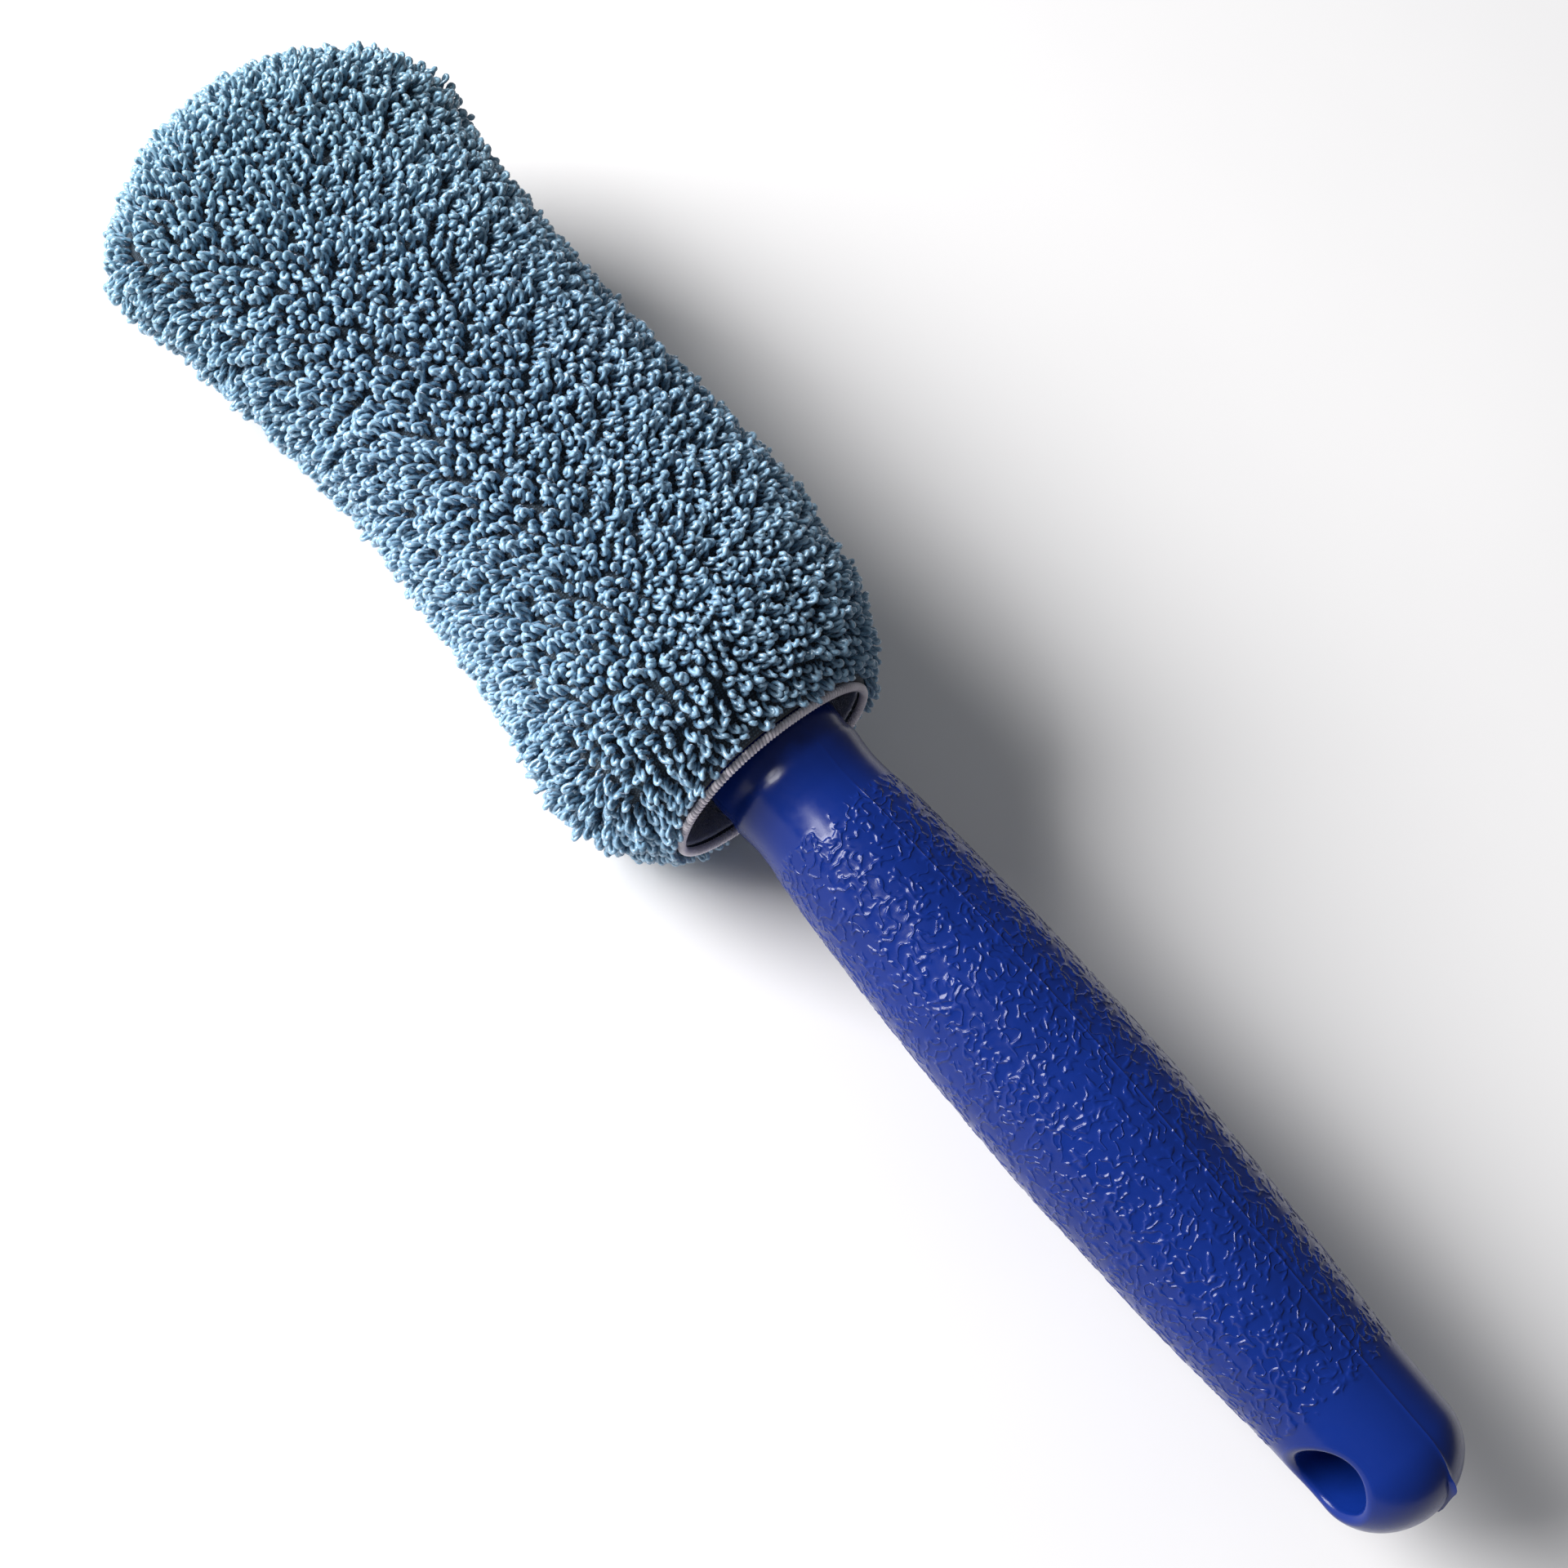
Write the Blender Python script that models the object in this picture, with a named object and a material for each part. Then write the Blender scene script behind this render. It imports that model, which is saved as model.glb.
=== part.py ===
"""Wheel brush: a blow-moulded handle with a padded core and a pull-off sleeve of looped microfibre.

Frame: +X runs along the brush from the head to the tail of the handle, +Y is across it (the
hanging hole runs along Y), +Z is up. The head's underside is flattened where it rests, at z = 0.
Lengths along the brush are given as "a", the distance from the head's far tip.
"""
from math import cos, sin, pi, radians, sqrt

import bpy
import bmesh
from mathutils import Matrix, Vector

for old in list(bpy.data.objects):
    bpy.data.objects.remove(old, do_unlink=True)

MM = 0.001
GAP = 0.3  # between pieces that touch

# ---- driving dimensions, in millimetres -------------------------------------------------
LENGTH = 380.0  # head tip to handle tail
AXIS_Z = 32.0  # height of the brush's axis over the surface it lies on
HEAD_SPLIT_TILT = 10.0  # degrees the sleeve sits turned about the brush's axis

WALL = 2.0  # blow-moulded wall
CORE_TIP = 18.0  # where the core starts
CORE_CAP = 16.0  # length of its rounded tip
CORE_Y, CORE_Z = 21.0, 8.0  # half width and half thickness of the core
SHOULDER = (150.0, 182.0)  # core widens into the neck
NECK_R = 15.25
TAIL_R, TAIL_CAP = 15.4, 13.7
# radius of the neck, with its shallow mould ring and waist, then of the grip
GRIP = ((SHOULDER[1], NECK_R), (188.5, 15.4), (191.3, 15.2), (194.0, 15.55), (197.0, 15.25), (200.0, 15.05),
        (203.5, 15.25), (207.0, 15.65), (211.0, 16.15), (223.0, 17.05), (242.0, 18.15), (262.0, 18.85),
        (284.0, 19.1), (300.0, 18.6), (318.0, 17.95), (336.0, 16.75), (350.0, 15.8),
        (366.3, TAIL_R))

HOLE_A = 362.4  # hanging hole, across the tail
HOLE_MID_R, HOLE_MOUTH_R = 6.6, 8.2
BLOW_HOLE_R = 2.5  # blow needle hole in the core's tip

# half width and half height of the sleeve's outside, loops included
PILE = ((24.0, 46.0, 25.3), (45.0, 41.6, 28.0), (65.0, 38.4, 31.0), (90.0, 36.1, 32.5),
        (120.0, 37.4, 33.5), (150.0, 39.6, 34.5), (166.0, 39.6, 34.4), (177.0, 36.6, 31.9),
        (187.0, 30.4, 25.4))
# half width and half height of the knitted backing's outside
BACK = ((25.5, 41.2, 20.8), (45.0, 37.0, 23.4), (65.0, 33.8, 26.4), (90.0, 31.5, 27.9),
        (120.0, 32.8, 28.9), (150.0, 35.0, 29.9), (166.0, 35.0, 29.8), (177.0, 32.2, 27.4),
        (187.6, 26.3, 20.9))
PILE_CAP, BACK_TIP, BACK_CAP = 24.0, 4.6, 21.0
PILE_END, BACK_END = 186.6, 187.4
BACKING = 1.2  # backing thickness
SEAM_R = 0.6
SQUARE = 2.15  # section exponent: 2 is an ellipse
CAP_POWER = 2.1
# the sleeve's middle line, in y and z: it bows away from the near side and its mouth hangs a little low
SWAY = ((0.0, 0.0, 0.0), (28.0, 0.0, 0.0), (45.0, 0.6, 0.0), (65.0, 1.6, 0.0), (90.0, 2.4, 0.0),
        (120.0, 2.6, 0.0), (142.0, 2.3, 0.0), (152.0, 1.0, -0.3), (162.0, -0.5, -1.0),
        (175.0, -0.9, -1.7), (BACK_END, -1.0, -2.0))
CORNER = (10.0, 45.0)  # the tip's near corner is drawn in this far, over this length

FOAM = (14.0, 158.0)
FOAM_GAP = 0.8  # the faceted pads stay clear of the backing
BAND = (176.0, 187.0)
BAND_T = 1.0
OVERLOCK_R = 0.9

SIDES_HANDLE, SIDES_HEAD = 32, 36


# ---- shape functions --------------------------------------------------------------------
def smooth(stations, a, k):
    """Monotone cubic through stations, column k, held flat outside them."""
    xs = [s[0] for s in stations]
    ys = [s[k] for s in stations]
    if a <= xs[0]:
        return ys[0]
    if a >= xs[-1]:
        return ys[-1]
    n = len(xs)
    d = [(ys[i + 1] - ys[i]) / (xs[i + 1] - xs[i]) for i in range(n - 1)]
    m = [d[0]] + [0.0 if d[i - 1] * d[i] <= 0 else 2 * d[i - 1] * d[i] / (d[i - 1] + d[i])
                  for i in range(1, n - 1)] + [d[-1]]
    i = max(j for j in range(n - 1) if xs[j] <= a)
    h = xs[i + 1] - xs[i]
    t = (a - xs[i]) / h
    return ((2 * t ** 3 - 3 * t ** 2 + 1) * ys[i] + (t ** 3 - 2 * t ** 2 + t) * h * m[i]
            + (-2 * t ** 3 + 3 * t ** 2) * ys[i + 1] + (t ** 3 - t ** 2) * h * m[i + 1])


def ease(t):
    t = min(1.0, max(0.0, t))
    return t * t * (3 - 2 * t)


def cap(distance, length, power):
    """Rounded end: 0 at the tip, 1 from length on."""
    if distance >= length:
        return 1.0
    if distance <= 0:
        return 0.0
    return (1 - ((length - distance) / length) ** power) ** (1 / power)


def ring(a, half_y, half_z, count, power=2.0, y=0.0, z=0.0, turn=0.0):
    """Points of one section, a superellipse in the plane across the brush."""
    points = []
    for i in range(count):
        t = 2 * pi * i / count + turn
        c, s = cos(t), sin(t)
        py = half_y * abs(c) ** (2 / power) * (1 if c >= 0 else -1)
        pz = half_z * abs(s) ** (2 / power) * (1 if s >= 0 else -1)
        points.append(Vector(((a - LENGTH / 2) * MM, (y + py) * MM, (AXIS_Z + z + pz) * MM)))
    return points


def tip_stations(start, length, count):
    """Distances that crowd towards a rounded end at start."""
    return [start + length * (1 - cos(pi / 2 * i / count)) for i in range(1, count + 1)]


def spread(start, end, step):
    n = max(1, round((end - start) / step))
    return [start + (end - start) * i / n for i in range(1, n + 1)]


def sway(a):
    return smooth(SWAY, a, 1), smooth(SWAY, a, 2)


def corner(a, y):
    """How far the tip is drawn in along the brush at this width."""
    return CORNER[0] * max(0.0, -y / 40) ** 1.3 * (1 - ease(a / CORNER[1]))


def drawn_in(points):
    return [p + Vector((corner(p.x / MM + LENGTH / 2, p.y / MM) * MM, 0, 0)) for p in points]


# ---- mesh helpers -----------------------------------------------------------------------
parts = bpy.data.collections.new("wheel_brush")
cutters = bpy.data.collections.new("cutters")
for c in (parts, cutters):
    bpy.context.scene.collection.children.link(c)


def material(name, colour, roughness, metallic=0.0):
    m = bpy.data.materials.new(name)
    m.use_nodes = True
    b = m.node_tree.nodes["Principled BSDF"]
    b.inputs["Base Color"].default_value = (*colour, 1.0)
    b.inputs["Roughness"].default_value = roughness
    b.inputs["Metallic"].default_value = metallic
    return m


def add(name, mesh, collection, mat=None):
    o = bpy.data.objects.new(name, mesh)
    collection.objects.link(o)
    if mat:
        mesh.materials.append(mat)
    if collection is cutters:
        o.hide_render = True
        o.display_type = "WIRE"
    return o


def loft(name, rings, start_tip=None, end_tip=None, closed=False):
    """Skin over rings of equal count. A tip point closes an end in a fan, closed joins the last ring to the first."""
    bm = bmesh.new()
    loops = [[bm.verts.new(p) for p in r] for r in rings]
    pairs = list(zip(loops, loops[1:])) + ([(loops[-1], loops[0])] if closed else [])
    n = len(loops[0])
    for one, two in pairs:
        for i in range(n):
            j = (i + 1) % n
            bm.faces.new((one[i], one[j], two[j], two[i]))
    for tip, loop in ((start_tip, loops[0]), (end_tip, loops[-1])):
        if tip is not None:
            v = bm.verts.new(tip)
            for i in range(n):
                bm.faces.new((v, loop[i], loop[(i + 1) % n]))
        elif not closed:
            bm.faces.new(loop)
    bmesh.ops.recalc_face_normals(bm, faces=bm.faces)
    mesh = bpy.data.meshes.new(name)
    bm.to_mesh(mesh)
    bm.free()
    mesh.shade_smooth()
    mesh.set_sharp_from_angle(angle=radians(40))
    return mesh


def cut(target, *others):
    for o in others:
        m = target.modifiers.new(o.name, "BOOLEAN")
        m.operation = "DIFFERENCE"
        m.solver = "EXACT"
        m.object = o
    return target


def at(a, y=0.0, z=0.0):
    return Vector(((a - LENGTH / 2) * MM, y * MM, (AXIS_Z + z) * MM))


# ---- handle -----------------------------------------------------------------------------
def handle_half(a, inset):
    """Half width and half height of the moulding's outside, less inset."""
    t = ease((a - SHOULDER[0]) / (SHOULDER[1] - SHOULDER[0]))
    if a < SHOULDER[1]:
        y = CORE_Y + (NECK_R - CORE_Y) * t
        z = CORE_Z + (NECK_R - CORE_Z) * t
    else:
        y = z = smooth(GRIP, a, 1)
    tip = cap(a - CORE_TIP - inset, CORE_CAP - inset, 2.0)
    tail = cap(LENGTH - inset - a, TAIL_CAP - inset, 2.0)
    return (y - inset) * tip * tail, (z - inset) * tip * tail


def handle_rings(stations, inset, sides):
    return [ring(a, *handle_half(a, inset), sides, turn=pi / sides) for a in stations]


def tail_stations(inset, count):
    return [LENGTH - inset - d for d in reversed([
        (TAIL_CAP - inset) * (1 - cos(pi / 2 * i / count)) for i in range(1, count + 1)])]


blue = material("blue_plastic", (0.012, 0.035, 0.30), 0.42)
outer_stations = (tip_stations(CORE_TIP, CORE_CAP, 5) + spread(CORE_TIP + CORE_CAP, SHOULDER[0], 29)
                  + spread(*SHOULDER, 8) + [186.0, 188.5, 189.9, 191.3, 192.6, 194.0, 195.5, 197.0, 200.0, 203.5, 207.0, 211.0]
                  + spread(211.0, 352.0, 10) + spread(352.0, LENGTH - TAIL_CAP, 7)
                  + tail_stations(0.0, 7)[1:])
inner_stations = (tip_stations(CORE_TIP + WALL, CORE_CAP - WALL, 4) + spread(CORE_TIP + CORE_CAP, SHOULDER[0], 58)
                  + spread(*SHOULDER, 11) + spread(SHOULDER[1], 203.0, 10.5)
                  + spread(203.0, LENGTH - TAIL_CAP, 18) + tail_stations(WALL, 4)[1:])

handle = add("handle_body", loft("handle_body", handle_rings(outer_stations, 0.0, SIDES_HANDLE),
                                 at(CORE_TIP), at(LENGTH)), parts, blue)
cavity = add("cavity", loft("cavity", handle_rings(inner_stations, WALL, 20),
                            at(CORE_TIP + WALL), at(LENGTH - WALL)), cutters)


def turned_across(name, a, profile, sides):
    """A solid turned about the Y axis through a: profile is (y, radius)."""
    rings = []
    for y, r in profile:
        rings.append([at(a + r * cos(2 * pi * i / sides), y, r * sin(2 * pi * i / sides))
                      for i in range(sides)])
    return add(name, loft(name, rings), cutters)


# the hole's own wall, left standing across the hollow tail
boss = turned_across("hole_boss", HOLE_A, [(-22, HOLE_MOUTH_R + WALL), (-12, HOLE_MOUTH_R + WALL - 0.3),
                                           (0, HOLE_MID_R + WALL), (12, HOLE_MOUTH_R + WALL - 0.3),
                                           (22, HOLE_MOUTH_R + WALL)], 24)
cut(cavity, boss)
bore = turned_across("hole_bore", HOLE_A, [(-22, HOLE_MOUTH_R + 0.4), (-15.6, HOLE_MOUTH_R + 0.3),
                                           (-13.2, HOLE_MOUTH_R - 0.6), (-8, 7.0), (0, HOLE_MID_R), (8, 7.0),
                                           (13.2, HOLE_MOUTH_R - 0.6), (15.6, HOLE_MOUTH_R + 0.3),
                                           (22, HOLE_MOUTH_R + 0.4)], 28)
bpy.ops.mesh.primitive_cylinder_add(vertices=12, radius=BLOW_HOLE_R * MM, depth=16 * MM,
                                    location=at(CORE_TIP + 1), rotation=(0, pi / 2, 0))
needle = bpy.context.active_object
needle.name = "blow_needle"
for c in list(needle.users_collection):
    c.objects.unlink(needle)
cutters.objects.link(needle)
needle.hide_render = True
needle.display_type = "WIRE"
cut(handle, cavity, bore, needle)


# ---- head -------------------------------------------------------------------------------
def pile_half(a, inset=0.0):
    c = cap(a - inset, PILE_CAP, CAP_POWER)
    return (smooth(PILE, a, 1) - inset) * c, (smooth(PILE, a, 2) - inset) * c


def back_half(a, inset=0.0):
    c = cap(a - BACK_TIP - inset, BACK_CAP, CAP_POWER)
    return (smooth(BACK, a, 1) - inset) * c, (smooth(BACK, a, 2) - inset) * c


def head_ring(a, half, count=SIDES_HEAD):
    return drawn_in(ring(a, *half, count, SQUARE, *sway(a), turn=radians(-HEAD_SPLIT_TILT)))


def cup(name, outer, inner, outer_tip, inner_tip, outer_cap, inner_cap, end, collection=cutters):
    """A sock-shaped shell: closed at the far tip, open at the mouth."""
    out = tip_stations(outer_tip, outer_cap, 6) + spread(outer_tip + outer_cap, 166, 17) + spread(166, end, 5)
    inn = tip_stations(inner_tip, inner_cap, 6) + spread(inner_tip + inner_cap, 166, 17) + spread(166, end, 5)
    bm = bmesh.new()
    tips, loops = [], []
    for stations, half, tip in ((out, outer, outer_tip), (inn, inner, inner_tip)):
        rows = [[bm.verts.new(p) for p in head_ring(a, half(a))] for a in stations]
        v = bm.verts.new(at(tip, *sway(tip)))
        n = len(rows[0])
        for i in range(n):
            bm.faces.new((v, rows[0][i], rows[0][(i + 1) % n]))
        for one, two in zip(rows, rows[1:]):
            for i in range(n):
                bm.faces.new((one[i], one[(i + 1) % n], two[(i + 1) % n], two[i]))
        loops.append(rows[-1])
    n = len(loops[0])
    for i in range(n):
        bm.faces.new((loops[0][i], loops[0][(i + 1) % n], loops[1][(i + 1) % n], loops[1][i]))
    bmesh.ops.recalc_face_normals(bm, faces=bm.faces)
    mesh = bpy.data.meshes.new(name)
    bm.to_mesh(mesh)
    bm.free()
    mesh.shade_smooth()
    mesh.set_sharp_from_angle(angle=radians(40))
    return mesh


def block(name, low, high, tilt=0.0):
    """A box cutter between two corners in millimetres, turned about the brush's axis."""
    bm = bmesh.new()
    bmesh.ops.create_cube(bm, size=1.0)
    size = [h - l for l, h in zip(low, high)]
    mid = [(h + l) / 2 for l, h in zip(low, high)]
    bmesh.ops.scale(bm, vec=[s * MM for s in size], verts=bm.verts)
    bmesh.ops.translate(bm, vec=[m * MM for m in mid], verts=bm.verts)
    bmesh.ops.rotate(bm, cent=(0, 0, 0), matrix=Matrix.Rotation(tilt, 3, "X"), verts=bm.verts)
    bmesh.ops.translate(bm, vec=(0, 0, AXIS_Z * MM), verts=bm.verts)
    mesh = bpy.data.meshes.new(name)
    bm.to_mesh(mesh)
    bm.free()
    return add(name, mesh, cutters)


half_gap = SEAM_R + GAP
tilt = radians(-HEAD_SPLIT_TILT)
below = block("below_seam", (-230, -80, -80), (40, 80, half_gap), tilt)
above = block("above_seam", (-230, -80, -half_gap), (40, 80, 80), tilt)
floor = block("rest_plane", (-230, -90, -120), (40, 90, -AXIS_Z))

navy = material("dark_knit", (0.012, 0.03, 0.06), 0.95)
pile = material("blue_loops", (0.115, 0.245, 0.40), 0.7)
white = material("pale_elastic", (0.62, 0.62, 0.66), 0.85)
thread = material("pale_thread", (0.66, 0.62, 0.66), 0.8)
seam = material("seam_thread", (0.05, 0.10, 0.17), 0.85)
foam = material("foam", (0.45, 0.45, 0.43), 0.95)

back_mesh = cup("backing", back_half, lambda a: back_half(a, BACKING), BACK_TIP, BACK_TIP + BACKING,
                BACK_CAP, BACK_CAP, BACK_END)
pile_mesh = cup("pile", pile_half, lambda a: back_half(a, -GAP), 0.0, BACK_TIP - GAP,
                PILE_CAP, BACK_CAP, PILE_END)
cut(add("backing_upper", back_mesh.copy(), parts, navy), below)
cut(add("backing_lower", back_mesh.copy(), parts, navy), above)
cut(add("pile_upper", pile_mesh.copy(), parts, pile), below)
cut(add("pile_lower", pile_mesh.copy(), parts, pile), above, floor)


# ---- foam pads over and under the core --------------------------------------------------
def foam_mesh(name):
    inset = BACKING + FOAM_GAP
    stations = (tip_stations(BACK_TIP + inset, BACK_CAP, 5)[1:] + spread(BACK_TIP + inset + BACK_CAP, FOAM[1], 22))
    rings = [drawn_in(ring(a, *back_half(a, inset), 28, SQUARE, *sway(a))) for a in stations]
    first = stations[0]
    return loft(name, rings, start_tip=at(first + 0.3, *sway(first)))


clear = add("core_clearance", loft("core_clearance", [
    ring(a, *[h + GAP for h in handle_half(a, 0.0)], SIDES_HANDLE, turn=pi / SIDES_HANDLE)
    for a in outer_stations if a < 175], at(CORE_TIP - GAP * 2)), cutters)
pad_below = block("below_pads", (-230, -80, -80), (40, 80, GAP / 2))
pad_above = block("above_pads", (-230, -80, -GAP / 2), (40, 80, 80))
cut(add("foam_pad_upper", foam_mesh("foam_pad_upper"), parts, foam), pad_below, clear)
cut(add("foam_pad_lower", foam_mesh("foam_pad_lower"), parts, foam), pad_above, clear)


# ---- the mouth: elastic band inside it and overlock stitching on its edge ---------------
def band_ring(a, inset):
    return ring(a, *back_half(a, inset), 36, SQUARE, *sway(a))


inner_face, outer_face = BACKING + GAP + BAND_T, BACKING + GAP
band_stations = [BAND[0] + (BAND[1] - BAND[0]) * i / 3 for i in range(4)]
band_rings = [band_ring(a, outer_face) for a in band_stations] + [band_ring(a, inner_face) for a in reversed(band_stations)]
add("mouth_elastic_band", loft("mouth_elastic_band", band_rings, closed=True), parts, white)


def wire(name, points, radius, cyclic, mat):
    c = bpy.data.curves.new(name, "CURVE")
    c.dimensions = "3D"
    c.bevel_depth = radius * MM
    c.bevel_resolution = 2
    c.use_fill_caps = True
    s = c.splines.new("POLY")
    s.points.add(len(points) - 1)
    for p, q in zip(s.points, points):
        p.co = (*q, 1.0)
    s.use_cyclic_u = cyclic
    o = bpy.data.objects.new(name, c)
    parts.objects.link(o)
    c.materials.append(mat)
    return o


edge = BACK_END + GAP + OVERLOCK_R
rim = ring(edge, *back_half(BACK_END, BACKING + 0.1), 44, SQUARE, *sway(BACK_END))
wire("mouth_overlock_thread", rim, OVERLOCK_R, True, thread)


# ---- the seam thread, down both sides and round the far end -----------------------------
def seam_point(a, side, inset):
    """Where the backing's middle meets the seam plane, on one side."""
    half_y, half_z = back_half(a, inset)
    y, z = sway(a)
    c, s = cos(tilt), sin(tilt)
    # the superellipse along the seam plane's direction
    r = (abs(c / half_y) ** SQUARE + abs(s / half_z) ** SQUARE) ** (-1 / SQUARE)
    along = side * r + y * c + z * s  # the sway leaves the seam plane where it was
    return at(a + corner(a, along * c), along * c, along * s)


inset = BACKING / 2
tip = BACK_TIP + inset
side_stations = [tip + 0.15] + tip_stations(tip, BACK_CAP, 9) + spread(tip + BACK_CAP, BACK_END - 0.6, 9)
near = [seam_point(a, -1, inset) for a in side_stations]
far = [seam_point(a, 1, inset) for a in side_stations]
wire("sleeve_seam_thread", list(reversed(near)) + far, SEAM_R, False, seam)
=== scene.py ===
"""Looks of the wheel brush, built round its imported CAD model."""
from math import atan2, cos, pi, radians, sin, sqrt, tan

import bmesh
import bpy
import numpy as np
from mathutils import Matrix, Vector


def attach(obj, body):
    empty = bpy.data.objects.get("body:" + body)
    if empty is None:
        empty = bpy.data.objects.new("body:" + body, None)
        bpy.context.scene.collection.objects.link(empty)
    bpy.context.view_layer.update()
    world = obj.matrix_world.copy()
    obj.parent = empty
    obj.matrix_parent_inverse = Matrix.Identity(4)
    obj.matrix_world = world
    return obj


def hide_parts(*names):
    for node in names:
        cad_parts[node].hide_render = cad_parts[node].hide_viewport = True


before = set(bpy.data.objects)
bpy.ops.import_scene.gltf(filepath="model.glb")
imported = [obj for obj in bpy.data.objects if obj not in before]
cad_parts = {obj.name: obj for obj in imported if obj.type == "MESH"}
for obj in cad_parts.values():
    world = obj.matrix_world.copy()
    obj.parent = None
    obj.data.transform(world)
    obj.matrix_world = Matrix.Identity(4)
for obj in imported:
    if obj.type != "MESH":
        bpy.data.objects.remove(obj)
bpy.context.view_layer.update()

MM = 0.001
LENGTH, AXIS_Z = 380.0, 32.0

# ---- the design's stations, as in the CAD -------------------------------------------------
CORE_TIP, CORE_CAP, CORE_Y, CORE_Z = 18.0, 16.0, 21.0, 8.0
SHOULDER = (150.0, 182.0)
NECK_R, TAIL_R, TAIL_CAP = 15.25, 15.4, 13.7
GRIP = ((SHOULDER[1], NECK_R), (188.5, 15.4), (191.3, 15.2), (194.0, 15.55), (197.0, 15.25), (200.0, 15.05),
        (203.5, 15.25), (207.0, 15.65), (211.0, 16.15), (223.0, 17.05), (242.0, 18.15), (262.0, 18.85),
        (284.0, 19.1), (300.0, 18.6), (318.0, 17.95), (336.0, 16.75), (350.0, 15.8),
        (366.3, TAIL_R))
HOLE_A = 362.4
GRAIN_FROM, GRAIN_TO = 205.2, 351.0
BACK = ((25.5, 41.2, 20.8), (45.0, 37.0, 23.4), (65.0, 33.8, 26.4), (90.0, 31.5, 27.9),
        (120.0, 32.8, 28.9), (150.0, 35.0, 29.9), (166.0, 35.0, 29.8), (177.0, 32.2, 27.4),
        (187.6, 26.3, 20.9))
BACK_TIP, BACK_CAP, BACK_END, BACKING = 4.6, 21.0, 187.4, 1.2
SQUARE, CAP_POWER = 2.15, 2.1
SWAY = ((0.0, 0.0, 0.0), (28.0, 0.0, 0.0), (45.0, 0.6, 0.0), (65.0, 1.6, 0.0), (90.0, 2.4, 0.0),
        (120.0, 2.6, 0.0), (142.0, 2.3, 0.0), (152.0, 1.0, -0.3), (162.0, -0.5, -1.0),
        (175.0, -0.9, -1.7), (BACK_END, -1.0, -2.0))
CORNER = (10.0, 45.0)
MOUTH_LEAN = 2.2  # the soft edge settles back by this much at the top of the mouth and forward underneath
SEAM_TILT = radians(10.0)
FOAM_GAP, BAND_T, GAP = 0.8, 1.0, 0.3
BAND = (176.0, 187.0)
OVERLOCK_R = 0.9


def smooth(stations, a, k):
    """Monotone cubic through stations, column k, held flat outside them. a is an array."""
    xs = np.array([s[0] for s in stations], float)
    ys = np.array([s[k] for s in stations], float)
    d = np.diff(ys) / np.diff(xs)
    m = np.empty(len(xs))
    m[0], m[-1] = d[0], d[-1]
    same = d[:-1] * d[1:] > 0
    m[1:-1] = np.where(same, 2 * d[:-1] * d[1:] / np.where(same, d[:-1] + d[1:], 1), 0)
    a = np.clip(np.asarray(a, float), xs[0], xs[-1])
    i = np.clip(np.searchsorted(xs, a, side="right") - 1, 0, len(xs) - 2)
    h = xs[i + 1] - xs[i]
    t = (a - xs[i]) / h
    return ((2 * t**3 - 3 * t**2 + 1) * ys[i] + (t**3 - 2 * t**2 + t) * h * m[i]
            + (-2 * t**3 + 3 * t**2) * ys[i + 1] + (t**3 - t**2) * h * m[i + 1])


def ease(t):
    t = np.clip(t, 0.0, 1.0)
    return t * t * (3 - 2 * t)


def cap(distance, length, power):
    t = np.clip((length - np.asarray(distance, float)) / length, 0.0, 1.0)
    return np.maximum(1 - t**power, 0.0) ** (1 / power)


def handle_half(a):
    a = np.asarray(a, float)
    t = ease((a - SHOULDER[0]) / (SHOULDER[1] - SHOULDER[0]))
    grip = smooth(GRIP, a, 1)
    y = np.where(a < SHOULDER[1], CORE_Y + (NECK_R - CORE_Y) * t, grip)
    z = np.where(a < SHOULDER[1], CORE_Z + (NECK_R - CORE_Z) * t, grip)
    ends = cap(a - CORE_TIP, CORE_CAP, 2.0) * cap(LENGTH - a, TAIL_CAP, 2.0)
    return y * ends, z * ends


def back_half(a, inset=0.0):
    c = cap(np.asarray(a, float) - BACK_TIP - inset, BACK_CAP, CAP_POWER)
    return (smooth(BACK, a, 1) - inset) * c, (smooth(BACK, a, 2) - inset) * c


def sway(a):
    return smooth(SWAY, a, 1), smooth(SWAY, a, 2)


def corner(a, y):
    """How far the tip is drawn in along the brush at this width."""
    return CORNER[0] * np.maximum(0.0, -y / 40) ** 1.3 * (1 - ease(a / CORNER[1]))


def head_point(a, t, inset=0.0):
    """Point of the backing's surface at length a and section angle t, in millimetres in the row frame."""
    a = np.asarray(a, float)
    hy, hz = back_half(a, inset)
    sy, sz = sway(a)
    c, s = np.cos(t), np.sin(t)
    y = sy + hy * np.sign(c) * np.abs(c) ** (2 / SQUARE)
    z = sz + hz * np.sign(s) * np.abs(s) ** (2 / SQUARE)
    x = np.broadcast_to(a, y.shape) + corner(a, y) - LENGTH / 2
    x = x - MOUTH_LEAN * z / 21 * ease((a - 150) / (BACK_END - 150))
    return np.stack([x, y, z + AXIS_Z], -1)


# ---- mesh helpers -------------------------------------------------------------------------
made = bpy.data.collections.new("wheel_brush_visual")
bpy.context.scene.collection.children.link(made)


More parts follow.
